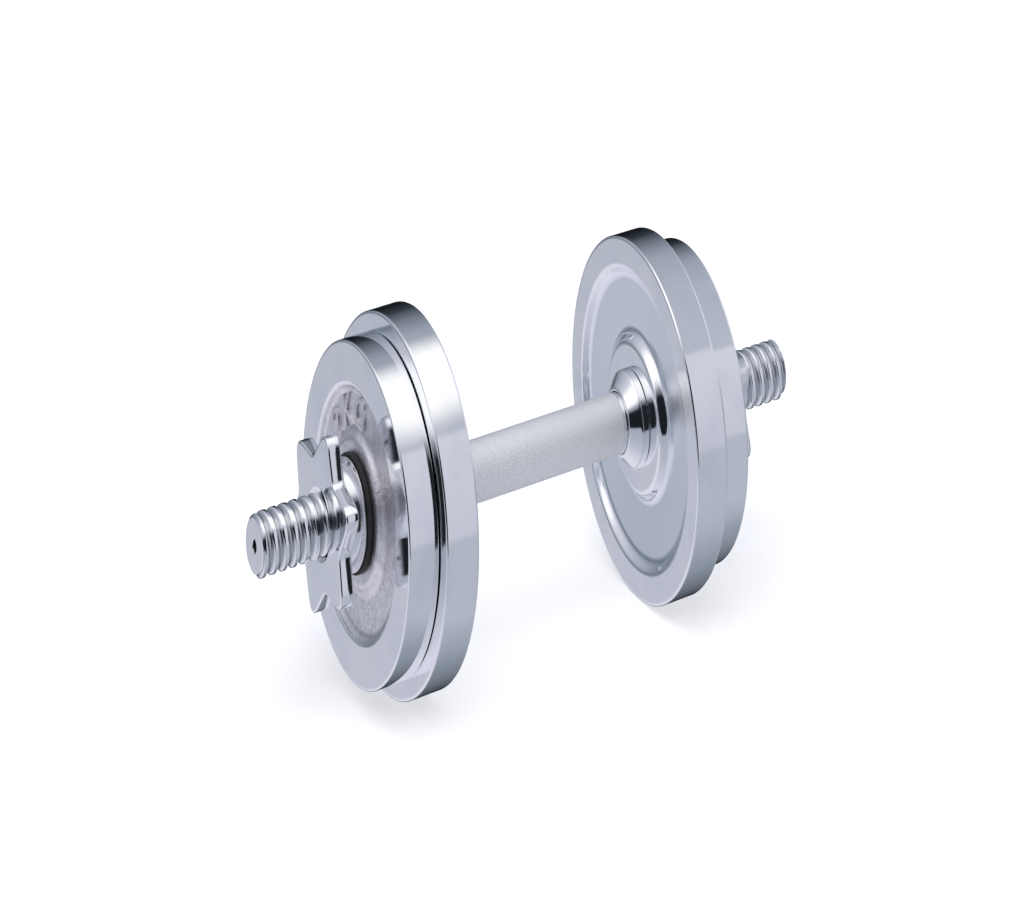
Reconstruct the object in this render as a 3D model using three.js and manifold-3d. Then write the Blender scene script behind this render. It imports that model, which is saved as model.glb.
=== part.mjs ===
// Adjustable dumbbell: a threaded bar with two fixed collars, and on each side a large plate,
// a small plate, a rubber ring and a star-shaped screw nut that clamps the plates.
//
// Frame: millimetres, origin at the middle of the bar, +X along the bar, +Z up.
// Each side is modelled on +X, in a group of its own. The left group is turned half a turn
// about Z, so both ends of the bar carry the same right-hand thread.

import * as THREE from 'three';
import { mergeVertices } from 'three/addons/utils/BufferGeometryUtils.js';
import Module from 'manifold-3d';

const wasm = await Module();
wasm.setup();

// ---- Driving dimensions ----------------------------------------------------------------

const barLength = 381;
const barRadius = 12.5;
const barEndChamfer = 1.6;
const centreHoleRadius = 2.7;
const centreHoleDepth = 4.5;

const threadPitch = 6.9;
const threadDepth = 1.9;
const plainLength = 24.3;          // smooth bar outside each collar, where the thread starts
const threadRadialClearance = 0.4; // between the nut's thread and the bar's
const threadAxialClearance = 0.3;

const collarSpacing = 156.4;       // over the outer faces of the two collars
const collarWidth = 11.4;
const collarTaper = 6.4;           // length of the cone on the hand's side
const collarRadius = 20.3;
const collarNoseWall = 1.2;        // thickness of the cone at its small end
const collarClearance = 0.3;
const screwRadius = 2.7;
const screwSocketWidth = 2.6;      // across the corners
const screwSocketDepth = 3;
const screwSunk = 0.8;             // below the collar's surface
const screwClearance = 0.3;

const seatGap = 0.3;               // between pieces that are clamped face to face
const plateBoreClearance = 1.4;
const boreChamfer = 1.2;

const largePlate = {
  radius: 75,
  rimWidth: 22.6,
  hubProud: 0.4,                   // inner hub face stands this far out of the rim
  edge: 1.4,
  bossRadius: 31,
  bossFlare: 3.5,
  recessRadius: 62.4,
  recessSlope: 3.9,
  recessDepth: 4.5,
  backBossRadius: 31,
  backRecessRadius: 60,
  backRecessDepth: 3.5,
};

const smallPlate = {
  radius: 67,
  rimWidth: 20.5,
  hubProud: 0.3,
  edge: 1.2,
  bossRadius: 31,
  bossFlare: 3.5,
  recessRadius: 55,
  recessSlope: 3.2,
  recessDepth: 3.5,
  backBossRadius: 28.5,
  backRecessRadius: 49.7,
  backRecessDepth: 3.2,
};

const ringRadius = 23.5;
const ringThickness = 3;
const ringBoreRadius = 17.2;
const ringSeatClearance = 0.4;     // between the ring and the nut's spigot

const spigotLength = 2.4;
const flangeRadius = 22.4;
const flangeNeckRadius = 21;       // where the flange meets the star
const flangeLength = 12.8;
const starThickness = 8.4;
const starTipRadius = 37;
const starNotchRadius = 26;
const starTipWidth = 9;
const starTipRound = 2;
const starTeeth = 6;
const starTurn = { left: 20.5, right: 30 };   // degrees, where each nut came to rest
const countersinkRadius = 14.4;

const plateSegments = 36;
const hubSegments = 24;
const barSegments = 16;            // also the steps in one turn of thread

// ---- Sizes that follow -----------------------------------------------------------------

const threadRootRadius = barRadius - threadDepth;
const grooveRootHalf = 0.14 * threadPitch;
const grooveMouthHalf = 0.35 * threadPitch;
const plateBoreRadius = barRadius + plateBoreClearance;

const collarOuterFace = collarSpacing / 2;
const collarInnerFace = collarOuterFace - collarWidth;
const threadStart = collarOuterFace + plainLength;
const threadedLength = barLength / 2 - threadStart;
const largePlateStart = collarOuterFace + seatGap;
const largePlateEnd = largePlateStart + largePlate.hubProud + largePlate.rimWidth;
const smallPlateStart = largePlateEnd + seatGap;
const smallPlateEnd = smallPlateStart + smallPlate.hubProud + smallPlate.rimWidth;
const ringStart = smallPlateEnd + seatGap;
const flangeStart = ringStart + ringThickness + seatGap;
const starStart = flangeStart + flangeLength;
const starEnd = starStart + starThickness;

// ---- Solids ----------------------------------------------------------------------------

function toSolid(geometry) {
  const plain = new THREE.BufferGeometry();
  plain.setAttribute('position', geometry.getAttribute('position').clone());
  if (geometry.index) {
    plain.setIndex(geometry.index.clone());
  }
  const merged = mergeVertices(plain, 1e-4);
  return new wasm.Manifold(new wasm.Mesh({
    numProp: 3,
    vertProperties: new Float32Array(merged.getAttribute('position').array),
    triVerts: new Uint32Array(merged.index.array),
  }));
}

function toGeometry(solid) {
  const mesh = solid.getMesh();
  const geometry = new THREE.BufferGeometry();
  geometry.setAttribute('position', new THREE.BufferAttribute(mesh.vertProperties, 3));
  geometry.setIndex(new THREE.BufferAttribute(mesh.triVerts, 1));
  geometry.computeVertexNormals();
  return geometry;
}

// Turns an outline of [along the bar, radius] points about the X axis. The outline runs from
// -X to +X over the outside, and starts and ends on the axis or closes on itself.
function turned(outline, segments) {
  const points = outline.map(([along, radius]) => new THREE.Vector2(radius, along));
  const geometry = new THREE.LatheGeometry(points, segments, Math.PI / segments);
  geometry.rotateZ(-Math.PI / 2);
  return geometry;
}

// A plug for cutting a straight round hole along X.
function plug(from, to, radius) {
  return toSolid(turned([[from, 0], [from, radius], [to, radius], [to, 0]], barSegments));
}

// A cone-shaped cutter for the chamfer at the mouth of a hole.
function chamferCutter(face, holeRadius, size, outwards) {
  const over = 1;
  const wide = [face + outwards * over, holeRadius + size + over];
  const narrow = [face - outwards * size, holeRadius];
  const outline = outwards > 0 ? [narrow, wide] : [wide, narrow];
  const ends = outline.map(([along]) => [along, 0]);
  return toSolid(turned([ends[0], ...outline, ends[1]], barSegments));
}

// Sweeps a four-cornered section of [along, radius] offsets along the thread's helix.
function helicalCutter(section, start, turns) {
  const steps = Math.round(turns * barSegments);
  const corners = section.length;
  const positions = [];
  const indices = [];
  for (let step = 0; step <= steps; step += 1) {
    const angle = (step + 0.5) / barSegments * 2 * Math.PI;
    const along = start + step / barSegments * threadPitch;
    for (const [offset, radius] of section) {
      positions.push(along + offset, radius * Math.cos(angle), radius * Math.sin(angle));
    }
  }
  for (let step = 0; step < steps; step += 1) {
    for (let corner = 0; corner < corners; corner += 1) {
      const a = step * corners + corner;
      const b = step * corners + (corner + 1) % corners;
      indices.push(a, b, a + corners, b, b + corners, a + corners);
    }
  }
  const last = steps * corners;
  for (let corner = 1; corner < corners - 1; corner += 1) {
    indices.push(0, corner + 1, corner);
    indices.push(last, last + corner, last + corner + 1);
  }
  const geometry = new THREE.BufferGeometry();
  geometry.setAttribute('position', new THREE.Float32BufferAttribute(positions, 3));
  geometry.setIndex(indices);
  return toSolid(geometry);
}

// ---- Bar -------------------------------------------------------------------------------

function grooveCutter() {
  const mouthRadius = barRadius + 1;
  const slope = (grooveMouthHalf - grooveRootHalf) / threadDepth;
  const mouthHalf = grooveMouthHalf + slope;
  const section = [
    [-grooveRootHalf, threadRootRadius],
    [grooveRootHalf, threadRootRadius],
    [mouthHalf, mouthRadius],
    [-mouthHalf, mouthRadius],
  ];
  const turns = Math.ceil(threadedLength / threadPitch) + 1;
  return helicalCutter(section, threadStart, turns);
}

function barGeometry() {
  const end = barLength / 2;
  const rightHalf = [
    [end - barEndChamfer, barRadius],
    [end, barRadius - barEndChamfer],
    [end, centreHoleRadius],
    [end - centreHoleDepth, 0],
  ];
  const leftHalf = rightHalf.map(([along, radius]) => [-along, radius]).reverse();
  const blank = toSolid(turned([...leftHalf, ...rightHalf], barSegments));
  const cutter = grooveCutter();
  return toGeometry(blank.subtract(cutter).subtract(cutter.rotate([0, 0, 180])));
}

// ---- Collar and its screw --------------------------------------------------------------

function collarGeometry() {
  const bore = barRadius + collarClearance;
  const nose = bore + collarNoseWall;
  const ring = toSolid(turned([
    [collarInnerFace, bore],
    [collarInnerFace, nose],
    [collarInnerFace + collarTaper, collarRadius],
    [collarOuterFace, collarRadius],
    [collarOuterFace, bore],
    [collarInnerFace, bore],
  ], hubSegments));
  const hole = new THREE.CylinderGeometry(
    screwRadius + screwClearance, screwRadius + screwClearance, collarRadius * 2, 12);
  hole.rotateX(Math.PI / 2);
  hole.translate(screwAlong(), 0, -collarRadius);
  return toGeometry(ring.subtract(toSolid(hole)));
}

// The screw sits in the middle of the collar's straight part, on the underside.
function screwAlong() {
  return collarOuterFace - (collarWidth - collarTaper) / 2 - screwClearance;
}

function screwGeometry() {
  const length = collarRadius - screwSunk - barRadius - collarClearance;
  const body = new THREE.CylinderGeometry(screwRadius, screwRadius, length, 12);
  const socket = new THREE.CylinderGeometry(
    screwSocketWidth / 2, screwSocketWidth / 2, screwSocketDepth * 2, 6);
  socket.translate(0, length / 2, 0);
  const geometry = toGeometry(toSolid(body).subtract(toSolid(socket)));
  geometry.rotateX(-Math.PI / 2);
  return geometry;
}

// ---- Plates ----------------------------------------------------------------------------

// One cast plate: a thick rim, a thinner web on both sides and a raised hub. Its hand-side hub
// face is at x = 0.
function plateGeometry(plate) {
  const rimStart = plate.hubProud;
  const rimEnd = rimStart + plate.rimWidth;
  const floor = rimStart + plate.recessDepth;
  const backFloor = rimEnd - plate.backRecessDepth;
  const bore = plateBoreRadius;
  return turned([
    [boreChamfer, bore],
    [0, bore + boreChamfer],
    [0, plate.bossRadius],
    [floor, plate.bossRadius + plate.bossFlare],
    [floor, plate.recessRadius - plate.recessSlope],
    [rimStart, plate.recessRadius],
    [rimStart, plate.radius - plate.edge],
    [rimStart + plate.edge, plate.radius],
    [rimEnd - plate.edge, plate.radius],
    [rimEnd, plate.radius - plate.edge],
    [rimEnd, plate.backRecessRadius],
    [backFloor, plate.backRecessRadius - plate.recessSlope],
    [backFloor, plate.backBossRadius + plate.bossFlare],
    [rimEnd, plate.backBossRadius],
    [rimEnd, bore + boreChamfer],
    [rimEnd - boreChamfer, bore],
    [boreChamfer, bore],
  ], plateSegments);
}

// ---- Rubber ring and star nut ----------------------------------------------------------

function ringGeometry() {
  return turned([
    [0, ringBoreRadius],
    [0, ringRadius],
    [ringThickness, ringRadius],
    [ringThickness, ringBoreRadius],
    [0, ringBoreRadius],
  ], hubSegments);
}

// A star with blunt, rounded teeth. The shape's x and y are the model's y and z.
function starShape(turn) {
  const shape = new THREE.Shape();
  const halfTip = starTipWidth / 2 - starTipRound;
  const roundCentre = starTipRadius - starTipRound;
  const toothStep = 2 * Math.PI / starTeeth;
  const place = (radial, across, angle) => new THREE.Vector2(radial, across)
    .rotateAround(new THREE.Vector2(), angle);
  for (let tooth = 0; tooth < starTeeth; tooth += 1) {
    const angle = THREE.MathUtils.degToRad(turn) + tooth * toothStep;
    const notch = place(starNotchRadius, 0, angle - toothStep / 2);
    if (tooth === 0) {
      shape.moveTo(notch.x, notch.y);
    } else {
      shape.lineTo(notch.x, notch.y);
    }
    for (const [across, from, to] of [[-halfTip, -60, 0], [halfTip, 0, 60]]) {
      const centre = place(roundCentre, across, angle);
      shape.absarc(centre.x, centre.y, starTipRound,
        angle + THREE.MathUtils.degToRad(from), angle + THREE.MathUtils.degToRad(to));
    }
  }
  shape.closePath();
  return shape;
}

function starGeometry(turn) {
  const star = new THREE.ExtrudeGeometry(starShape(turn), {
    depth: starThickness,
    bevelEnabled: false,
    curveSegments: 3,
  });
  // The shape's plane becomes YZ, and its depth runs along +X.
  star.applyMatrix4(new THREE.Matrix4().set(
    0, 0, 1, 0,
    1, 0, 0, 0,
    0, 1, 0, 0,
    0, 0, 0, 1,
  ));
  star.translate(starStart, 0, 0);
  return star;
}

// The nut's groove takes the ridge between two turns of the bar's groove.
function nutThreadCutter() {
  const rootHalf = threadPitch / 2 - grooveRootHalf + threadAxialClearance;
  const crestHalf = threadPitch / 2 - grooveMouthHalf + threadAxialClearance;
  const slope = (rootHalf - crestHalf) / threadDepth;
  const under = 0.5;
  const section = [
    [-rootHalf - slope * under, threadRootRadius + threadRadialClearance - under],
    [rootHalf + slope * under, threadRootRadius + threadRadialClearance - under],
    [crestHalf, barRadius + threadRadialClearance],
    [-crestHalf, barRadius + threadRadialClearance],
  ];
  const skipped = Math.floor((flangeStart - spigotLength - threadStart) / threadPitch) - 1;
  const turns = Math.ceil((starEnd - flangeStart + spigotLength) / threadPitch) + 2;
  return helicalCutter(section, threadStart + (skipped + 0.5) * threadPitch, turns);
}

function nutGeometry(turn) {
  const spigotRadius = ringBoreRadius - ringSeatClearance;
  const spigotStart = flangeStart - spigotLength;
  const overlap = 1;
  const flange = toSolid(turned([
    [spigotStart, 0],
    [spigotStart, spigotRadius],
    [flangeStart, spigotRadius],
    [flangeStart, flangeRadius],
    [starStart, flangeNeckRadius],
    [starStart + overlap, flangeNeckRadius],
    [starStart + overlap, 0],
  ], hubSegments));
  const bore = threadRootRadius + threadRadialClearance;
  return toGeometry(flange
    .add(toSolid(starGeometry(turn)))
    .subtract(plug(spigotStart - overlap, starEnd + overlap, bore))
    .subtract(nutThreadCutter())
    .subtract(chamferCutter(starEnd, bore, countersinkRadius - bore, 1))
    .subtract(chamferCutter(spigotStart, bore, threadDepth, -1)));
}

// ---- Materials and assembly ------------------------------------------------------------

const chrome = { color: 0xb9bac6, roughness: 0.12, metalness: 1 };
const cast = { color: 0xb4b3ba, roughness: 0.3, metalness: 1 };
const darkSteel = { color: 0x3a3a3e, roughness: 0.45, metalness: 1 };
const rubber = { color: 0x121214, roughness: 0.75, metalness: 0 };

function piece(name, geometry, finish) {
  const mesh = new THREE.Mesh(geometry, new THREE.MeshStandardMaterial(finish));
  mesh.name = name;
  return mesh;
}

function side(name) {
  const group = new THREE.Group();

  group.add(piece(`collar_${name}`, collarGeometry(), chrome));

  const screw = piece(`collar_screw_${name}`, screwGeometry(), darkSteel);
  const screwMiddle = (collarRadius - screwSunk + barRadius + collarClearance) / 2;
  screw.position.set(screwAlong(), 0, -screwMiddle);
  group.add(screw);

  const large = piece(`large_plate_${name}`, plateGeometry(largePlate), chrome);
  large.position.x = largePlateStart;
  group.add(large);

  const small = piece(`small_plate_${name}`, plateGeometry(smallPlate), cast);
  small.position.x = smallPlateStart;
  group.add(small);

  const ring = piece(`rubber_ring_${name}`, ringGeometry(), rubber);
  ring.position.x = ringStart;
  group.add(ring);

  group.add(piece(`star_nut_${name}`, nutGeometry(starTurn[name]), chrome));
  return group;
}

const dumbbell = new THREE.Group();
dumbbell.add(piece('bar', barGeometry(), chrome));

const left = side('left');
left.rotation.z = Math.PI;
dumbbell.add(left);
dumbbell.add(side('right'));

export default dumbbell;
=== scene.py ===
import math

import bmesh
import bpy
import numpy as np
from mathutils import Matrix, Vector


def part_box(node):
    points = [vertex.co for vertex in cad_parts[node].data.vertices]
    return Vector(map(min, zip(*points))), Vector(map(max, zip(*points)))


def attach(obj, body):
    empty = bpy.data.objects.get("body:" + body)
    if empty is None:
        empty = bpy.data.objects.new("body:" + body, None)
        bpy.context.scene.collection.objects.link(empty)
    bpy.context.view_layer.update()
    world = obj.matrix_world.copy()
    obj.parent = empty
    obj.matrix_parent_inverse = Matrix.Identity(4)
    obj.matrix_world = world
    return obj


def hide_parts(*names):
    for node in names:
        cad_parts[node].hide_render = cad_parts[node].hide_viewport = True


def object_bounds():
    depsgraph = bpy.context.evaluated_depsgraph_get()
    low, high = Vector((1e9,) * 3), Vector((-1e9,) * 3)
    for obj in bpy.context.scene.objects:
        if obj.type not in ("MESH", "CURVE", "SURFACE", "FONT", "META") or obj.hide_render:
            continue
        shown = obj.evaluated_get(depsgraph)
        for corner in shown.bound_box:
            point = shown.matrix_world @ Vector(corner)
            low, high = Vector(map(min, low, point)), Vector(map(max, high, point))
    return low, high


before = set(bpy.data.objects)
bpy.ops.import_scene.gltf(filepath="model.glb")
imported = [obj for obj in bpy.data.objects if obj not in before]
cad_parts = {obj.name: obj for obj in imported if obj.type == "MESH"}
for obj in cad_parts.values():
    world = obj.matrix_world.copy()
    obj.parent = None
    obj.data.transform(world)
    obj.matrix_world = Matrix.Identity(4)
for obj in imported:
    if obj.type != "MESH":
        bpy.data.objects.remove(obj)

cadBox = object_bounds()
sides = ("left", "right")


def reach(node):
    # largest distance of a CAD node's surface from the bar's axis
    return max(math.hypot(v.co.y, v.co.z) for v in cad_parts[node].data.vertices)


def span(node):
    # where a node of the right-hand side starts and ends along the bar
    low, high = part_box(node)
    return low[0], high[0]


fillets = {
    "steps": 5,
    "lip": 0.00012,            # narrow band beside a fillet, so that flat faces shine flat
    "mostOfSide": 0.45,        # a fillet takes no more of a side than this share
    "lipOfSide": 0.1,
}


def filleted(corners, steps=fillets["steps"]):
    # corners are (along, radius, fillet); every fillet becomes a short curve between two lips
    lip, share, most = fillets["lip"], fillets["lipOfSide"], fillets["mostOfSide"]
    points = []
    count = len(corners)
    for i, (x, r, fillet) in enumerate(corners):
        here = np.array((x, r))
        if fillet == 0:
            points.append(here)
            continue
        before = np.array(corners[(i - 1) % count][:2]) - here
        after = np.array(corners[(i + 1) % count][:2]) - here
        longBefore, longAfter = np.linalg.norm(before), np.linalg.norm(after)
        before, after = before / longBefore, after / longAfter
        trim = min(fillet, most * longBefore, most * longAfter)
        start, end = here + before * trim, here + after * trim
        points.append(start + before * min(lip, share * longBefore))
        for step in range(steps + 1):
            t = step / steps
            points.append((1 - t) ** 2 * start + 2 * t * (1 - t) * here + t ** 2 * end)
        points.append(end + after * min(lip, share * longAfter))
    return points


def loopAt(x, r, angles):
    # points round the bar's axis, where r is one radius or a radius for each angle
    return np.stack([np.full_like(angles, x), r * np.cos(angles), r * np.sin(angles)], axis=1)


def circleLoops(outline, angles):
    # one loop for each (along, radius) of the outline
    return [loopAt(x, r, angles) for x, r in outline]


def evenAngles(count):
    return np.arange(count) / count * 2 * math.pi


crease = 32                    # degrees between faces, past which an edge is drawn sharp


def skin(name, loops, closed=True, sharp=crease, diamonds=()):
    # joins loops of equal length into one smooth-shaded mesh, creased past the sharp angle;
    # rings in the diamonds range are split along their grooves
    around = len(loops[0])
    points = np.concatenate(loops)
    faces = []
    last = len(loops) if closed else len(loops) - 1
    for ring in range(last):
        a0, b0 = ring * around, (ring + 1) % len(loops) * around
        knurled = ring in diamonds
        for j in range(around):
            k = (j + 1) % around
            quad = (a0 + j, a0 + k, b0 + k, b0 + j)
            if not knurled:
                faces.append(quad)
            elif (ring + j) % 2 == 0:
                faces += [(quad[0], quad[1], quad[3]), (quad[1], quad[2], quad[3])]
            else:
                faces += [(quad[0], quad[1], quad[2]), (quad[0], quad[2], quad[3])]
    mesh = bpy.data.meshes.new(name)
    mesh.from_pydata(points.tolist(), [], faces)
    cleaned(mesh)
    mesh.set_sharp_from_angle(angle=math.radians(sharp))
    return mesh


def cleaned(mesh, merge=2e-7, shortest=1e-7):
    work = bmesh.new()
    work.from_mesh(mesh)
    bmesh.ops.remove_doubles(work, verts=work.verts, dist=merge)
    bmesh.ops.dissolve_degenerate(work, edges=work.edges, dist=shortest)
    bmesh.ops.recalc_face_normals(work, faces=work.faces)
    for face in work.faces:
        face.smooth = True
    work.to_mesh(mesh)
    work.free()


def piece(name, mesh, side, body, node, finish):
    # turns a right-hand mesh round for the left side, and puts it on its CAD body
    if side == "left":
        mesh.transform(Matrix.Rotation(math.pi, 4, "Z"))
    thing = bpy.data.objects.new(name, mesh)
    bpy.context.scene.collection.objects.link(thing)
    mesh.materials.clear()
    mesh.materials.append(finish)
    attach(thing, body)
    if node:
        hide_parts(node)


class Wire:
    # a shader socket that can be used in sums
    def __init__(self, graph, socket):
        self.graph = graph
        self.socket = socket

    def __add__(self, other):
        return self.graph.maths("ADD", self, other)

    def __sub__(self, other):
        return self.graph.maths("SUBTRACT", self, other)

    def __mul__(self, other):
        return self.graph.maths("MULTIPLY", self, other)

    def __truediv__(self, other):
        return self.graph.maths("DIVIDE", self, other)

    def __pow__(self, other):
        return self.graph.maths("POWER", self, other)

    def __rsub__(self, other):
        return self.graph.maths("SUBTRACT", other, self)

    __radd__ = __add__
    __rmul__ = __mul__

    def above(self, level, soft):
        # 0 below the level, 1 above it, smooth over the soft width
        return self.graph.node("ShaderNodeMapRange", {"interpolation_type": "SMOOTHSTEP"}, {
            "Value": self, "From Min": level - soft / 2, "From Max": level + soft / 2})["Result"]

    def below(self, level, soft):
        return 1 - self.above(level, soft)

    def absolute(self):
        return self.graph.maths("ABSOLUTE", self)


class Graph:
    # the node tree of a material or a world
    def __init__(self, owner):
        owner.use_nodes = True
        self.tree = owner.node_tree
        self.tree.nodes.clear()

    def node(self, kind, settings=None, values=None):
        made = self.tree.nodes.new(kind)
        for key, value in (settings or {}).items():
            if key == "stops":
                self.setStops(made.color_ramp, value)
            else:
                setattr(made, key, value)
        for key, value in (values or {}).items():
            socket = self.find(made.inputs, key)
            if isinstance(value, Wire):
                self.tree.links.new(value.socket, socket)
            else:
                socket.default_value = value
        return Outputs(self, made)

    def maths(self, operation, *values):
        settings = {"operation": operation}
        return self.node("ShaderNodeMath", settings, dict(enumerate(values)))["Value"]

    def bump(self, height):
        return self.node("ShaderNodeBump", {}, {
            "Strength": 1.0, "Distance": 1.0, "Height": height})["Normal"]

    def output(self, values):
        # a Principled shader with these sockets is the material's surface
        shader = self.node("ShaderNodeBsdfPrincipled", {}, values)["BSDF"]
        self.node("ShaderNodeOutputMaterial", {}, {"Surface": shader})

    def find(self, sockets, key):
        if isinstance(key, int):
            return sockets[key]
        named = [s for s in sockets if s.identifier == key]
        return named[0] if named else sockets[key]

    def setStops(self, ramp, stops):
        while len(ramp.elements) > 1:
            ramp.elements.remove(ramp.elements[-1])
        ramp.elements[0].position = stops[0][0]
        ramp.elements[0].color = (*stops[0][1], 1)
        for position, colour in stops[1:]:
            ramp.elements.new(position).color = (*colour, 1)

    def noise(self, where, scale, detail=2.0, roughness=0.5):
        return self.node("ShaderNodeTexNoise", {}, {
            "Vector": where, "Scale": scale, "Detail": detail, "Roughness": roughness})["Fac"]

    def mixColour(self, factor, first, second):
        return self.node("ShaderNodeMix", {"data_type": "RGBA"}, {
            "Factor_Float": factor, "A_Color": first, "B_Color": second})["Result_Color"]

    def place(self):
        # object position, the distance from the bar's middle, and from the bar's axis
        spot = self.node("ShaderNodeTexCoord")["Object"]
        parts = self.node("ShaderNodeSeparateXYZ", {}, {0: spot})
        x, y, z = parts["X"], parts["Y"], parts["Z"]
        away = (y * y + z * z) ** 0.5
        return spot, x.absolute(), away


class Outputs:
    # the output sockets of one node, as wires
    def __init__(self, graph, made):
        self.graph = graph
        self.made = made

    def __getitem__(self, key):
        return Wire(self.graph, self.graph.find(self.made.outputs, key))


def tint(*values):
    return (*values, 1.0)


chromeLook = {
    "colour": tint(0.95, 0.955, 0.97),
    "worn": tint(0.87, 0.885, 0.91),
    "brushed": tint(0.84, 0.875, 0.92),
    "roughness": 0.035,
    "smear": 0.045,
    "smearScale": 38,
    "fine": 0.02,
    "fineScale": 900,
    "waviness": 0.00022,
    "wavinessScale": 26,
    "turnedScale": 420,
    "brushedRough": 0.09,
    "brushedSmear": 0.06,
}


def chromeMaterial(name, look, cast=None, turned=0.0):
    # plated steel: a mirror with faint handling smears, a slight waviness and turning marks;
    # cast gives the brushed ring and the ring of rough casting in a plate's recesses
    material = bpy.data.materials.new(name)
    graph = Graph(material)
    spot, along, away = graph.place()
    smears = graph.noise(spot, look["smearScale"], 4, 0.6)
    fine = graph.noise(spot, look["fineScale"], 2)
    colour = graph.mixColour(smears.above(0.55, 0.35), look["colour"], look["worn"])
    rough = look["roughness"] + smears.above(0.5, 0.5) * look["smear"] + fine * look["fine"]
    height = graph.noise(spot, look["wavinessScale"], 1) * look["waviness"]
    if turned:
        rings = graph.node("ShaderNodeTexWave", {"wave_type": "RINGS", "rings_direction": "X"}, {
            "Vector": spot, "Scale": look["turnedScale"], "Distortion": 0.6, "Detail": 1})["Fac"]
        height = height + rings * turned
    if cast:
        soft, softAlong = cast["soft"], cast["softAlong"]
        brushed = away.above(cast["brushedFrom"], soft) * away.below(cast["brushedTo"], soft)
        brushed = brushed * along.below(cast["beyond"], softAlong)
        colour = graph.mixColour(brushed, colour, look["brushed"])
        rough = rough + brushed * (look["brushedRough"] + smears * look["brushedSmear"])
        inside = away.below(cast["to"], cast["softEdge"]) * along.above(cast["beyond"], softAlong)
        grain = graph.noise(spot, cast["grainScale"], 5, 0.65)
        pits = graph.noise(spot, cast["pitScale"], 3, 0.6)
        mottled = graph.mixColour(pits.above(0.5, 0.4), cast["light"], cast["dark"])
        colour = graph.mixColour(inside, colour, mottled)
        castRough = cast["roughness"] + grain * cast["roughGrain"]
        rough = rough * (1 - inside) + inside * castRough
        height = height + inside * (grain * cast["grain"] + pits * cast["pits"])
    graph.output({
        "Base Color": colour, "Roughness": rough, "Metallic": 1.0, "Normal": graph.bump(height)})
    return material


bar = {
    "around": 128,             # points round the bar, two for each diamond of the knurl
    "chamfer": 0.0016,
    "centreRadius": 0.0027,
    "centreDepth": 0.0045,
    "centreEdge": 0.0002,
    "centreWaist": (0.6, 0.55),   # shares of the depth and of the radius
    "centreFloor": 0.5,           # share of the radius
    "pitch": 0.0069,
    "threadDepth": 0.0019,
    "threadedLength": 0.088,
    "runIn": 0.001,            # plain shank's last ring before the thread
    "root": 0.09,              # half widths of the groove's floor and of its mouth, in pitches
    "mouth": 0.37,
    "samples": 20,             # rings in one pitch of thread
    "gripEnd": 0.0648,
    "gripEdge": 0.0006,
    "gripStep": 0.0001,
    "knurlHeight": 0.00032,
}
barLook = {
    "rough": 0.06,
    "smear": 0.05,
    "smearScale": 45,
    # painted shade: the thread's grooves are coloured darker below the crests
    "grooveColour": tint(0.36, 0.38, 0.41),
    "grooveShade": 0.7,
    "grooveBelow": (0.0009, 0.0010),    # depth under the crests, and softness
    "endClear": (0.0003, 0.0002),       # the flat end keeps its bright face, free of the painted groove shade
    "grooveRough": 0.10,
    "holeColour": tint(0.04, 0.04, 0.045),
    "holeRough": 0.5,
    "holeWithin": (0.0001, 0.0004),
    "knurlColour": tint(0.86, 0.86, 0.88),
    "knurlRough": 0.36,
    "knurlSmear": 0.08,
    "knurlFine": 0.06,
    "knurlFrost": 0.45,        # how far the fine knurl scatters light like frost
    "waviness": 0.0001,
    "wavinessScale": 60,
    "fineHeight": 0.00002,
    "fineScale": 1400,
}
cadThreadSteps = 16            # facets of the CAD thread, which set where its helix starts

barEnd = span("bar")[1]
barRadius = reach("bar")
threadStart = barEnd - bar["threadedLength"]
helixStart = threadStart - bar["pitch"] * 0.5 / cadThreadSteps


def threadHeight(phase):
    # 0 at the root and 1 at the crest; a whole phase is the middle of the groove
    across = np.abs((phase + 0.5) % 1 - 0.5)
    t = np.clip((across - bar["root"]) / (bar["mouth"] - bar["root"]), 0, 1)
    return t * t * (3 - 2 * t)


def threadLoops(angles, low, high, radiusAt):
    # rings close enough together to carry the thread's slope
    turn = angles / (2 * math.pi)
    count = math.ceil((high - low) / bar["pitch"] * bar["samples"])
    loops = []
    for step in range(count + 1):
        x = low + (high - low) * step / count
        r = radiusAt(x, (x - helixStart) / bar["pitch"] - turn)
        loops.append(loopAt(x, r, angles))
    return loops


def barThreadRadius(x, phase):
    fade = np.clip((x - threadStart) / bar["pitch"], 0, 1)
    r = barRadius - bar["threadDepth"] * (1 - threadHeight(phase)) * fade
    tip = barRadius - bar["chamfer"] + (barEnd - x)
    return np.minimum(r, tip)


def knurlLoops(angles):
    # points stand up in turn like a chessboard, and sink to the groove in the last two rows
    step = 2 * math.pi * barRadius / bar["around"]
    rings = int(2 * bar["gripEnd"] / step) // 2 * 2
    loops = []
    for ring in range(rings + 1):
        x = -bar["gripEnd"] + 2 * bar["gripEnd"] * ring / rings
        up = np.where((ring + np.arange(len(angles))) % 2 == 0, 1.0, 0.0)
        edge = min(1, (bar["gripEnd"] - abs(x)) / (2 * step))
        r = barRadius - bar["knurlHeight"] * (1 - up * edge)
        loops.append(loopAt(x, r, angles))
    return loops


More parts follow.
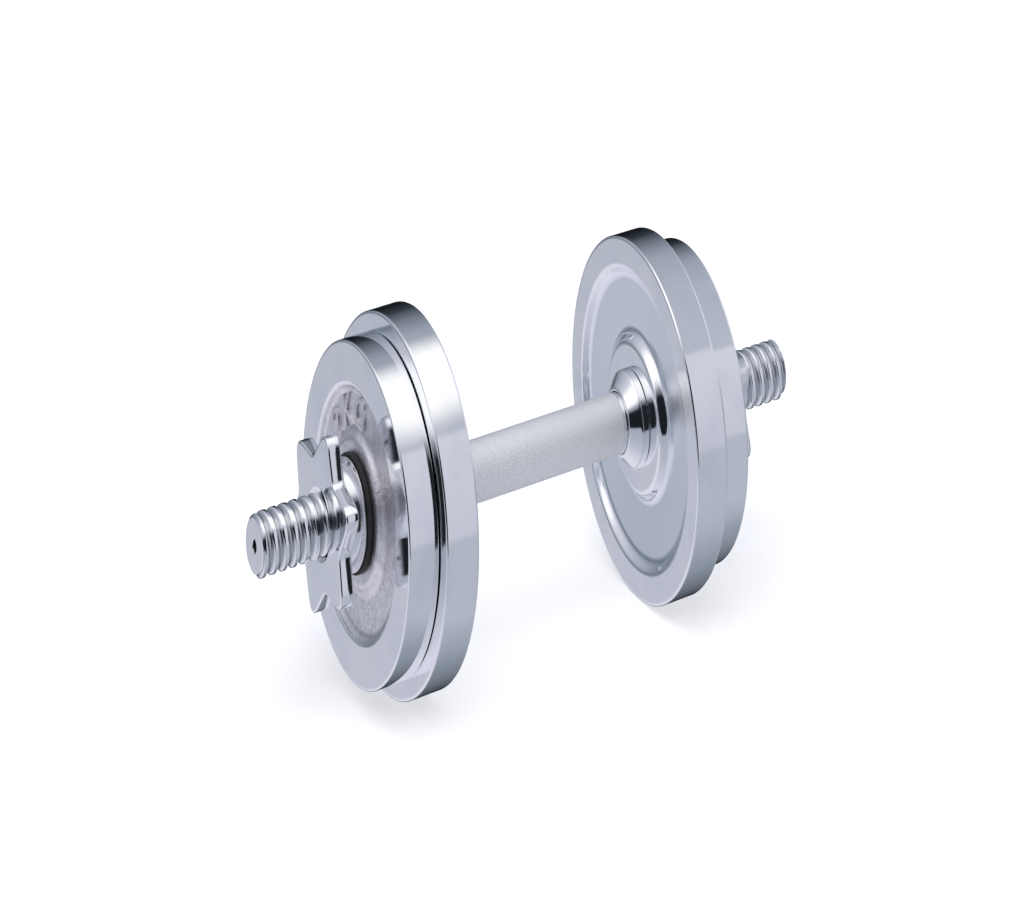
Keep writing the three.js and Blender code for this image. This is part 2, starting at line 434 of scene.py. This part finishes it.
def makeBar(finish):
    angles = evenAngles(bar["around"])
    right = threadLoops(angles, threadStart, barEnd, barThreadRadius)
    drill, depth, edge = bar["centreRadius"], bar["centreDepth"], bar["centreEdge"]
    waistDepth, waist = bar["centreWaist"]
    right += circleLoops([
        (barEnd, barRadius - bar["threadDepth"] - edge), (barEnd, drill + 2 * edge),
        (barEnd, drill + edge), (barEnd - edge, drill),
        (barEnd - waistDepth * depth, waist * drill),
        (barEnd - depth, bar["centreFloor"] * drill), (barEnd - depth, 0),
    ], angles)
    shank = [(bar["gripEnd"] + bar["gripEdge"], barRadius - bar["gripStep"]),
             (bar["gripEnd"] + 2 * bar["gripEdge"], barRadius),
             (threadStart - bar["runIn"], barRadius)]
    right = circleLoops(shank, angles) + right
    # the left end is the right one turned round, so its points run backwards round the bar
    half = len(angles) // 2
    order = (half - np.arange(len(angles))) % len(angles)
    left = [(loop * (-1, -1, 1))[order] for loop in reversed(right)]
    knurl = knurlLoops(angles)
    loops = left + knurl + right
    rings = range(len(left), len(left) + len(knurl) - 1)
    mesh = skin("bar", loops, closed=False, sharp=50, diamonds=rings)
    piece("threaded_bar", mesh, "right", "bar", "bar", finish)


def barMaterial():
    material = bpy.data.materials.new("barChrome")
    graph = Graph(material)
    spot, along, away = graph.place()
    smears = graph.noise(spot, barLook["smearScale"], 4, 0.6)
    fine = graph.noise(spot, barLook["fineScale"], 2)
    grip = along.below(bar["gripEnd"], bar["gripEdge"])
    depth, soft = barLook["grooveBelow"]
    # painted shade in the thread's grooves: darker below the crests, but not on the grip or the
    # flat end; the same mask makes the grooves rougher
    groove = away.below(barRadius - depth, soft) * (1 - grip)
    clear, soft = barLook["endClear"]
    groove = groove * along.below(barEnd - clear, soft)
    colour = graph.mixColour(smears.above(0.55, 0.4), chromeLook["colour"], chromeLook["worn"])
    colour = graph.mixColour(groove * barLook["grooveShade"], colour, barLook["grooveColour"])
    colour = graph.mixColour(grip, colour, barLook["knurlColour"])
    within, soft = barLook["holeWithin"]
    hole = away.below(bar["centreRadius"] - within, soft)
    colour = graph.mixColour(hole, colour, barLook["holeColour"])
    rough = barLook["rough"] + smears * barLook["smear"]
    rough = rough + groove * barLook["grooveRough"] + hole * barLook["holeRough"]
    knurl = barLook["knurlRough"] + smears * barLook["knurlSmear"] + fine * barLook["knurlFine"]
    rough = rough * (1 - grip) + grip * knurl
    height = graph.noise(spot, barLook["wavinessScale"], 1) * barLook["waviness"]
    height = height + fine * barLook["fineHeight"]
    graph.output({
        "Base Color": colour, "Roughness": rough, "Metallic": 1 - grip * barLook["knurlFrost"],
        "Normal": graph.bump(height)})
    return material


makeBar(barMaterial())
print("bar made")


collar = {
    "around": 160,
    "taper": 0.0064,
    "taperFillet": 0.0012,
    "noseWall": 0.0012,
    "clearance": 0.0003,
    "screwHole": 0.0031,
    "drillSides": 48,
    "drillDepth": 0.02,
    "edge": 0.0007,
}


def makeCollar(side, finish):
    # a turned ring with a tapered nose, drilled from below for its grub screw
    start, end = span("collar_right")
    wide = reach("collar_right")
    bore = barRadius + collar["clearance"]
    nose = bore + collar["noseWall"]
    edge = collar["edge"]
    outline = filleted([
        (start, bore, 0), (start, nose, edge),
        (start + collar["taper"], wide, collar["taperFillet"]), (end, wide, edge), (end, bore, 0),
    ])
    mesh = skin("collar", circleLoops(outline, evenAngles(collar["around"])))
    ring = bpy.data.objects.new("collarBlank", mesh)
    low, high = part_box("collar_screw_right")
    drill = bpy.data.meshes.new("drill")
    work = bmesh.new()
    bmesh.ops.create_cone(
        work, cap_ends=True, segments=collar["drillSides"], radius1=collar["screwHole"],
        radius2=collar["screwHole"], depth=collar["drillDepth"],
        matrix=Matrix.Translation(((low[0] + high[0]) / 2, 0, low[2])))
    work.to_mesh(drill)
    work.free()
    cutter = bpy.data.objects.new("drill", drill)
    for thing in (ring, cutter):
        bpy.context.scene.collection.objects.link(thing)
    cut = ring.modifiers.new("hole", "BOOLEAN")
    cut.object = cutter
    cut.operation = "DIFFERENCE"
    cut.solver = "EXACT"
    depsgraph = bpy.context.evaluated_depsgraph_get()
    bored = bpy.data.meshes.new_from_object(ring.evaluated_get(depsgraph))
    for thing in (ring, cutter):
        bpy.data.objects.remove(thing)
    bored.set_sharp_from_angle(angle=math.radians(crease))
    node = "collar_" + side
    piece("fixed_collar_" + side, bored, side, "bar", node, finish)


collarChrome = chromeMaterial("collarChrome", chromeLook, turned=0.000004)
for side in sides:
    makeCollar(side, collarChrome)
print("collars made")


largePlate = {
    "around": 224, "edge": 0.0014, "hubProud": 0.0004,
    "boss": 0.031, "bossFlare": 0.0035, "recess": 0.0624, "slope": 0.0039, "depth": 0.0045,
    "backBoss": 0.031, "backRecess": 0.060, "backSlope": 0.0026, "backDepth": 0.0035,
    "dish": 0.0011, "marks": "2.5KG", "markRadius": 0.0385,
}
smallPlate = {
    "around": 224, "edge": 0.0012, "hubProud": 0.0003,
    "boss": 0.031, "bossFlare": 0.0035, "recess": 0.055, "slope": 0.0032, "depth": 0.0035,
    "backBoss": 0.0285, "backRecess": 0.0502, "backSlope": 0.0030, "backDepth": 0.0032,
    "dish": 0.0008, "marks": "2KG", "markRadius": 0.0332,
}
boreClearance = 0.0014
boreChamfer = 0.0012
plateBore = barRadius + boreClearance
plateFillets = {
    "bore": 0.0003, "boss": 0.0016, "bossFoot": 0.0022, "recessFoot": 0.0020, "recessLip": 0.0012,
    "backLip": 0.0007, "backFoot": 0.0014, "backBossFoot": 0.0024, "backBoss": 0.0014,
}
castLook = {
    "light": tint(0.93, 0.91, 0.94), "dark": tint(0.78, 0.755, 0.79),
    "roughness": 0.30, "roughGrain": 0.15,
    "grain": 0.00022, "grainScale": 620, "pits": 0.00045, "pitScale": 210,
    "inset": 0.0008, "softEdge": 0.0008, "soft": 0.001, "softAlong": 0.0004,
}


def makePlate(side, size, plate, finish):
    node = size + "_plate_" + side
    start, end = span(size + "_plate_right")
    rim = reach(size + "_plate_right")
    face = start + plate["hubProud"]
    floor = face + plate["depth"]
    back = end - plate["backDepth"]
    flare, slope = plate["bossFlare"], plate["slope"]
    fillet = plateFillets
    outline = filleted([
        (start + boreChamfer, plateBore, 0),
        (start, plateBore + boreChamfer, fillet["bore"]),
        (start, plate["boss"], fillet["boss"]),
        (floor + plate["dish"] / 2, plate["boss"] + flare, fillet["bossFoot"]),
        (floor - plate["dish"] / 2, plate["recess"] - slope, fillet["recessFoot"]),
        (face, plate["recess"], fillet["recessLip"]),
        (face, rim, plate["edge"]),
        (end, rim, plate["edge"]),
        (end, plate["backRecess"], fillet["backLip"]),
        (back, plate["backRecess"] - plate["backSlope"], fillet["backFoot"]),
        (back, plate["backBoss"] + flare, fillet["backBossFoot"]),
        (end, plate["backBoss"], fillet["backBoss"]),
        (end, plateBore + boreChamfer, fillet["bore"]),
        (end - boreChamfer, plateBore, 0),
    ])
    mesh = skin(node, circleLoops(outline, evenAngles(plate["around"])), sharp=40)
    piece("cast_" + node, mesh, side, node, node, finish)
    makeMarks(side, size, plate, back, finish)


marks = {
    "height": 0.0125,          # of a capital, which is a share of the font's size
    "sizeForHeight": 1.42,
    "raised": 0.0016,
    "sunk": 0.0006,
    "bevel": 0.00025,
    "first": 136,              # degrees round the plate, and from each sign to the next
    "step": 23,
    "crease": 35,
}


def makeMarks(side, size, plate, floor, finish):
    # raised weight marks, set along the ring with their tops outwards
    parts = []
    for i, sign in enumerate(plate["marks"]):
        curve = bpy.data.curves.new("sign", "FONT")
        curve.body = sign
        curve.size = marks["height"] * marks["sizeForHeight"]
        curve.align_x = "CENTER"
        curve.extrude = marks["raised"]
        curve.bevel_depth = marks["bevel"]
        curve.bevel_resolution = 2
        text = bpy.data.objects.new("sign", curve)
        bpy.context.scene.collection.objects.link(text)
        depsgraph = bpy.context.evaluated_depsgraph_get()
        letter = bpy.data.meshes.new_from_object(text.evaluated_get(depsgraph))
        bpy.data.objects.remove(text)
        # from the sign's own plane to the plate's outer face, with its top away from the axis
        turn = math.radians(marks["first"] - i * marks["step"])
        upright = Matrix(((0, 0, 1, 0), (1, 0, 0, 0), (0, 1, 0, 0), (0, 0, 0, 1)))
        lift = Matrix.Translation((floor - marks["sunk"], 0, 0))
        out = Matrix.Translation((0, 0, plate["markRadius"]))
        spin = Matrix.Rotation(turn - math.pi / 2, 4, "X")
        letter.transform(lift @ spin @ out @ upright)
        parts.append(letter)
    whole = bmesh.new()
    for letter in parts:
        whole.from_mesh(letter)
    mesh = bpy.data.meshes.new(size + "_marks_" + side)
    whole.to_mesh(mesh)
    whole.free()
    cleaned(mesh)
    mesh.set_sharp_from_angle(angle=math.radians(marks["crease"]))
    name = size + "_plate_numerals_" + side
    piece(name, mesh, side, size + "_plate_" + side, None, finish)


def castRing(size, plate):
    # where a plate is rough as cast, on its outer side, and brushed, on its inner side
    start, end = span(size + "_plate_right")
    ring = dict(castLook)
    ring["to"] = plate["backRecess"] - ring["inset"]
    ring["beyond"] = (start + end) / 2
    ring["brushedFrom"] = plate["boss"] + plate["bossFlare"]
    ring["brushedTo"] = plate["recess"] - plate["slope"]
    return ring


for size, plate in (("large", largePlate), ("small", smallPlate)):
    finish = chromeMaterial(size + "PlateChrome", chromeLook, castRing(size, plate), 0.000003)
    for side in sides:
        makePlate(side, size, plate, finish)
print("plates made")


rubberRing = {"around": 128, "bore": 0.0172, "edge": 0.0009}
rubberLook = {
    "dark": tint(0.012, 0.012, 0.013), "pale": tint(0.035, 0.034, 0.034),
    "rough": 0.5, "roughCloud": 0.25,
    "grain": 0.00005, "grainScale": 1500, "cloud": 0.00008, "cloudScale": 180,
}


def rubberMaterial():
    material = bpy.data.materials.new("blackRubber")
    graph = Graph(material)
    spot = graph.node("ShaderNodeTexCoord")["Object"]
    cloud = graph.noise(spot, rubberLook["cloudScale"], 4, 0.6)
    grain = graph.noise(spot, rubberLook["grainScale"], 3)
    height = grain * rubberLook["grain"] + cloud * rubberLook["cloud"]
    graph.output({
        "Base Color": graph.mixColour(cloud, rubberLook["dark"], rubberLook["pale"]),
        "Roughness": rubberLook["rough"] + cloud * rubberLook["roughCloud"],
        "Normal": graph.bump(height)})
    return material


def makeRing(side, finish):
    start, end = span("rubber_ring_right")
    wide = reach("rubber_ring_right")
    edge = rubberRing["edge"]
    outline = filleted([
        (start, rubberRing["bore"], edge / 2), (start, wide, edge),
        (end, wide, edge), (end, rubberRing["bore"], edge / 2),
    ])
    mesh = skin("ring", circleLoops(outline, evenAngles(rubberRing["around"])), sharp=60)
    node = "rubber_ring_" + side
    piece("rubber_washer_" + side, mesh, side, node, node, finish)


rubber = rubberMaterial()
for side in sides:
    makeRing(side, rubber)
print("rubber rings made")


nut = {
    "spigot": 0.0024, "spigotRadius": 0.0168, "spigotFillet": 0.0004, "spigotFoot": 0.0003,
    "flange": 0.0224, "flangeFillet": 0.0012, "neck": 0.0210, "neckFillet": 0.0014,
    "neckHidden": 0.002,       # how far the neck's last ring runs out behind the star
    "thickness": 0.0084, "backEdge": 0.9,
    "tip": 0.037, "notch": 0.026, "tipWidth": 0.009, "tipRound": 0.0030, "notchRound": 0.0026,
    "tipBevel": (0.0022, 0.0030),
    "teeth": 6, "turn": {"left": 20.5, "right": 30},
    "countersink": 0.0144, "sinkLip": 0.0005, "sinkEdge": 0.0002, "sinkStep": (0.0003, 0.0001),
    "sinkShare": 0.45,
    "edge": 0.0011, "threadGap": 0.00035, "mouthDepth": 0.0012, "mouthWidth": 0.0022,
    "mouthFillet": 0.0003,
}


def starOutline(side):
    # one tooth, drawn along +Y and turned round the axis
    step = 2 * math.pi / nut["teeth"]
    half = nut["tipWidth"] / 2
    notch = nut["notch"] * np.array((math.cos(step / 2), math.sin(step / 2)))
    shorter, narrower = nut["tipBevel"]
    shoulder = np.array((nut["tip"] - shorter, half))
    tip = np.array((nut["tip"], half - narrower))
    corners = [notch * (1, -1), shoulder * (1, -1), tip * (1, -1), tip, shoulder]
    rounds = [nut["notchRound"]] + [nut["tipRound"]] * 4
    whole, sizes = [], []
    for tooth in range(nut["teeth"]):
        a = math.radians(nut["turn"][side]) + tooth * step
        turn = np.array(((math.cos(a), -math.sin(a)), (math.sin(a), math.cos(a))))
        whole += [turn @ corner for corner in corners]
        sizes += rounds
    return evenlySpaced(np.array(filleted([(*p, r) for p, r in zip(whole, sizes)], steps=12)))


def evenlySpaced(points, gap=0.00065):
    # the same closed outline with points at equal distances
    closed = np.vstack([points, points[:1]])
    along = np.concatenate([[0], np.cumsum(np.linalg.norm(np.diff(closed, axis=0), axis=1))])
    where = np.linspace(0, along[-1], round(along[-1] / gap), endpoint=False)
    return np.stack([np.interp(where, along, closed[:, k]) for k in (0, 1)], axis=1)


def inset(outline, amount):
    # moves a closed outline inwards by the same amount everywhere
    along = np.roll(outline, -1, axis=0) - np.roll(outline, 1, axis=0)
    along /= np.linalg.norm(along, axis=1, keepdims=True)
    inwards = np.stack([-along[:, 1], along[:, 0]], axis=1)
    return outline + inwards * amount


def flatLoop(x, outline):
    return np.concatenate([np.full((len(outline), 1), x), outline], axis=1)


def nutThreadRadius(x, phase):
    return barRadius - bar["threadDepth"] * (1 - threadHeight(phase)) + nut["threadGap"]


def makeNut(side, finish):
    start, end = span("star_nut_right")
    flangeStart = start + nut["spigot"]
    starStart = end - nut["thickness"]
    outline = starOutline(side)
    angles = np.unwrap(np.arctan2(outline[:, 1], outline[:, 0]))
    edge = nut["edge"]
    loops = []
    # the rounded back edge of the star, from its back face outwards, then its front edge
    for t in np.linspace(math.pi / 2, 0, 5):
        loops.append(flatLoop(starStart + edge * (1 - math.sin(t)) * nut["backEdge"],
                              inset(outline, edge * (1 - math.cos(t)) * nut["backEdge"])))
    for t in np.linspace(0, math.pi / 2, 6):
        x = end - edge * (1 - math.sin(t))
        loops.append(flatLoop(x, inset(outline, edge * (1 - math.cos(t)))))
    loops.append(flatLoop(end, inset(outline, edge + nut["sinkEdge"])))
    sink = nut["countersink"]
    sinkDepth, sinkIn = nut["sinkStep"]
    mouth = barRadius - bar["threadDepth"] + nut["threadGap"]
    loops += circleLoops([
        (end, sink + nut["sinkLip"]), (end, sink + nut["sinkEdge"]),
        (end - sinkDepth, sink - sinkIn)], angles)
    low, high = start + nut["mouthDepth"], end - (sink - mouth) * nut["sinkShare"]
    loops += threadLoops(angles, low, high, nutThreadRadius)[::-1]
    back = filleted([
        (low, mouth, 0), (start, mouth + nut["mouthWidth"], nut["mouthFillet"]),
        (start, nut["spigotRadius"], nut["spigotFillet"]),
        (flangeStart, nut["spigotRadius"], nut["spigotFoot"]),
        (flangeStart, nut["flange"], nut["flangeFillet"]),
        (starStart, nut["neck"], nut["neckFillet"]),
        (starStart, nut["neck"] + nut["neckHidden"], 0),
    ])
    loops += circleLoops(back[1:], angles)
    mesh = skin("nut", loops, sharp=40)
    node = "star_nut_" + side
    piece("star_screw_nut_" + side, mesh, side, node, node, finish)


nutChrome = chromeMaterial("nutChrome", dict(chromeLook, waviness=0.0003), turned=0.0)
for side in sides:
    makeNut(side, nutChrome)
print("star nuts made")


screwLook = {
    "dark": tint(0.06, 0.06, 0.065), "pale": tint(0.13, 0.13, 0.135),
    "rough": 0.35, "roughCloud": 0.2, "cloudScale": 700,
}


def screwMaterial():
    material = bpy.data.materials.new("blackenedSteel")
    graph = Graph(material)
    spot = graph.node("ShaderNodeTexCoord")["Object"]
    cloud = graph.noise(spot, screwLook["cloudScale"], 3)
    graph.output({
        "Base Color": graph.mixColour(cloud, screwLook["dark"], screwLook["pale"]),
        "Roughness": screwLook["rough"] + cloud * screwLook["roughCloud"], "Metallic": 1.0})
    return material


screwSteel = screwMaterial()
for side in sides:
    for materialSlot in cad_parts["collar_screw_" + side].material_slots:
        materialSlot.material = screwSteel
print("screws finished")


# Light for what isn't a mirror, and a soft box overhead that the plates' edges mirror
studio = {
    "floorDrop": 0.0003,
    "floorColour": tint(0.86, 0.86, 0.86),
    "floorGlow": 0.5,
    "floorReach": 8,
    "boxGlow": 1.12,
    "boxHeight": 0.56,
    "boxAlong": (-0.85, 0.30),
    "boxAcross": (-0.50, 0.34),
    "boxFade": (0.10, 0.34, 0.26),   # at its right end, towards the camera, and away from it
    "keyPower": 9,
    "keySize": 1.3,
    "keyPlace": (-0.5, -0.7, 1.3),
}

# Brightness of the room round the bar's axis. The angle starts level behind the object, goes
# up, over to the camera's side, down, and back under the floor. Below, it stands for the floor.
roomBands = [
    (0, 0.012), (14, 0.04), (28, 0.17), (50, 0.38), (84, 0.48), (128, 0.51), (132, 0.66),
    (190, 0.58), (194, 0.49), (240, 0.49), (284, 0.28), (325, 0.04), (345, 0.012), (360, 0.012),
]
# the same for reflections that point towards the left-hand end
endBands = [
    (0, 0.20), (30, 0.45), (60, 0.66), (95, 0.80), (120, 0.60), (140, 0.014), (195, 0.014),
    (198, 0.42), (235, 0.50), (290, 0.74), (322, 0.74), (336, 0.54), (350, 0.28), (360, 0.20),
]

# and plainer light from beyond the right-hand end
sideBands = [
    (0, 0.34), (30, 0.52), (90, 0.86), (140, 0.64), (170, 0.34), (200, 0.38), (270, 0.46),
    (330, 0.42), (360, 0.34),
]
# which bands a reflection takes, by how far it points along the bar, and how softly they meet
bandEdges = {"endways": 0.05, "endwaysSoft": 0.35, "side": 0.61, "sideSoft": 0.08}
# red and blue for a green of 1, in the darkest and in the brightest bands
roomTint = {"brightest": 0.64, "red": (0.77, 0.995), "blue": (1.23, 1.14)}


def roomColour(level):
    # the darker, the colder
    light = min(1, level / roomTint["brightest"])
    ranges = roomTint["red"], roomTint["blue"]
    red, blue = (dark + (bright - dark) * light for dark, bright in ranges)
    return level * red, level, level * blue


def bandColours(graph, bands, turned):
    stops = [(angle / 360, roomColour(level)) for angle, level in bands]
    return graph.node("ShaderNodeValToRGB", {"stops": stops}, {"Fac": turned})["Color"]


def makeRoom():
    world = bpy.data.worlds.new("studioRoom")
    bpy.context.scene.world = world
    graph = Graph(world)
    way = graph.node("ShaderNodeTexCoord")["Generated"]
    parts = graph.node("ShaderNodeSeparateXYZ", {}, {0: way})
    x, y, z = parts["X"], parts["Y"], parts["Z"]
    turned = graph.maths("FRACT", graph.maths("ARCTAN2", z, y) / (2 * math.pi) + 1)
    along = bandColours(graph, roomBands, turned)
    endways = bandColours(graph, endBands, turned)
    edges = bandEdges
    room = graph.mixColour(x.above(edges["endways"], edges["endwaysSoft"]), endways, along)
    plain = bandColours(graph, sideBands, turned)
    room = graph.mixColour(x.above(edges["side"], edges["sideSoft"]), room, plain)
    seen = graph.node("ShaderNodeLightPath")["Is Camera Ray"]
    room = graph.mixColour(seen, room, tint(1, 1, 1))
    glow = graph.node("ShaderNodeBackground", {}, {"Color": room, "Strength": 1.0})
    graph.node("ShaderNodeOutputWorld", {}, {"Surface": glow["Background"]})


def sheet(name, along, across, height, finish):
    # a level rectangle for the stage
    mesh = bpy.data.meshes.new(name)
    corners = [(along[i], across[j], height) for i, j in ((0, 0), (1, 0), (1, 1), (0, 1))]
    mesh.from_pydata(corners, [], [(0, 1, 2, 3)])
    mesh.materials.append(finish)
    thing = bpy.data.objects.new(name, mesh)
    bpy.context.scene.collection.objects.link(thing)
    return thing


def plainMaterial(name, colour, glow):
    material = bpy.data.materials.new(name)
    graph = Graph(material)
    graph.output({
        "Base Color": colour, "Roughness": 1.0, "Specular IOR Level": 0.0,
        "Emission Color": tint(1, 1, 1), "Emission Strength": glow})
    return material


makeRoom()
ground = cadBox[0][2] - studio["floorDrop"]
floorFinish = plainMaterial("paleFloor", studio["floorColour"], studio["floorGlow"])
floorSpan = (-studio["floorReach"], studio["floorReach"])
floor = sheet("paleFloor", floorSpan, floorSpan, ground, floorFinish)
floor.visible_glossy = False     # the room's lower half stands for the floor in reflections


def softBoxMaterial():
    material = bpy.data.materials.new("softBox")
    graph = Graph(material)
    spot = graph.node("ShaderNodeTexCoord")["Object"]
    parts = graph.node("ShaderNodeSeparateXYZ", {}, {0: spot})
    endFade, nearFade, farFade = studio["boxFade"]
    mask = parts["X"].below(studio["boxAlong"][1] - endFade / 2, endFade)
    mask = mask * parts["Y"].above(studio["boxAcross"][0] + nearFade / 2, nearFade)
    mask = mask * parts["Y"].below(studio["boxAcross"][1] - farFade / 2, farFade)
    clear = graph.node("ShaderNodeBsdfTransparent")["BSDF"]
    glow = graph.node("ShaderNodeEmission", {}, {"Strength": studio["boxGlow"]})["Emission"]
    mixed = graph.node("ShaderNodeMixShader", {}, {0: mask, 1: clear, 2: glow})["Shader"]
    graph.node("ShaderNodeOutputMaterial", {}, {"Surface": mixed})
    return material


boxFinish = softBoxMaterial()
softBox = sheet("softBox", studio["boxAlong"], studio["boxAcross"], studio["boxHeight"], boxFinish)
softBox.visible_camera = False
softBox.visible_shadow = False
softBox.visible_diffuse = False

key = bpy.data.lights.new("key", "AREA")
key.energy = studio["keyPower"]
key.size = studio["keySize"]
keyLight = bpy.data.objects.new("key", key)
keyLight.location = studio["keyPlace"]
keyLight.rotation_euler = (-Vector(studio["keyPlace"])).to_track_quat("-Z", "Y").to_euler()
keyLight.visible_glossy = False
bpy.context.scene.collection.objects.link(keyLight)
bpy.context.scene.view_settings.view_transform = "Standard"
print("studio lit")

# The main view is drawn taller than life, so two of the camera's axes lean back along its line
# of sight. An empty carries the leaning axes, and any other view uses the camera without it.
view = {
    "turn": -31.0,               # degrees round from the front
    "lift": 20.6,                # degrees above the horizon
    "leanRight": 11.5,
    "leanUp": 52.5,
    "distance": 3.642,
    "offset": (-0.0098, -0.0007),
    "lens": 201,
    "farthest": 50,
}


def makeCamera():
    turn, lift = math.radians(view["turn"]), math.radians(view["lift"])
    level = math.cos(lift)
    back = Vector((math.sin(turn) * level, -math.cos(turn) * level, math.sin(lift)))
    right = Vector((math.cos(turn), math.sin(turn), 0))
    up = back.cross(right)
    place = right * view["offset"][0] + up * view["offset"][1] + back * view["distance"]
    leanRight, leanUp = math.radians(view["leanRight"]), math.radians(view["leanUp"])
    right = right * math.cos(leanRight) + back * math.sin(leanRight)
    up = up * math.cos(leanUp) + back * math.sin(leanUp)
    axes = Matrix((right.to_4d(), up.to_4d(), back.to_4d(), place.to_4d())).transposed()
    axes[3] = (0, 0, 0, 1)
    lens = bpy.data.cameras.new("camera")
    lens.lens = view["lens"]
    lens.clip_end = view["farthest"]
    camera = bpy.data.objects.new("camera", lens)
    mount = bpy.data.objects.new("cameraMount", None)
    for thing in (mount, camera):
        bpy.context.scene.collection.objects.link(thing)
    camera.parent = mount
    camera.matrix_parent_inverse = axes
    bpy.context.scene.camera = camera


makeCamera()
print("camera set")
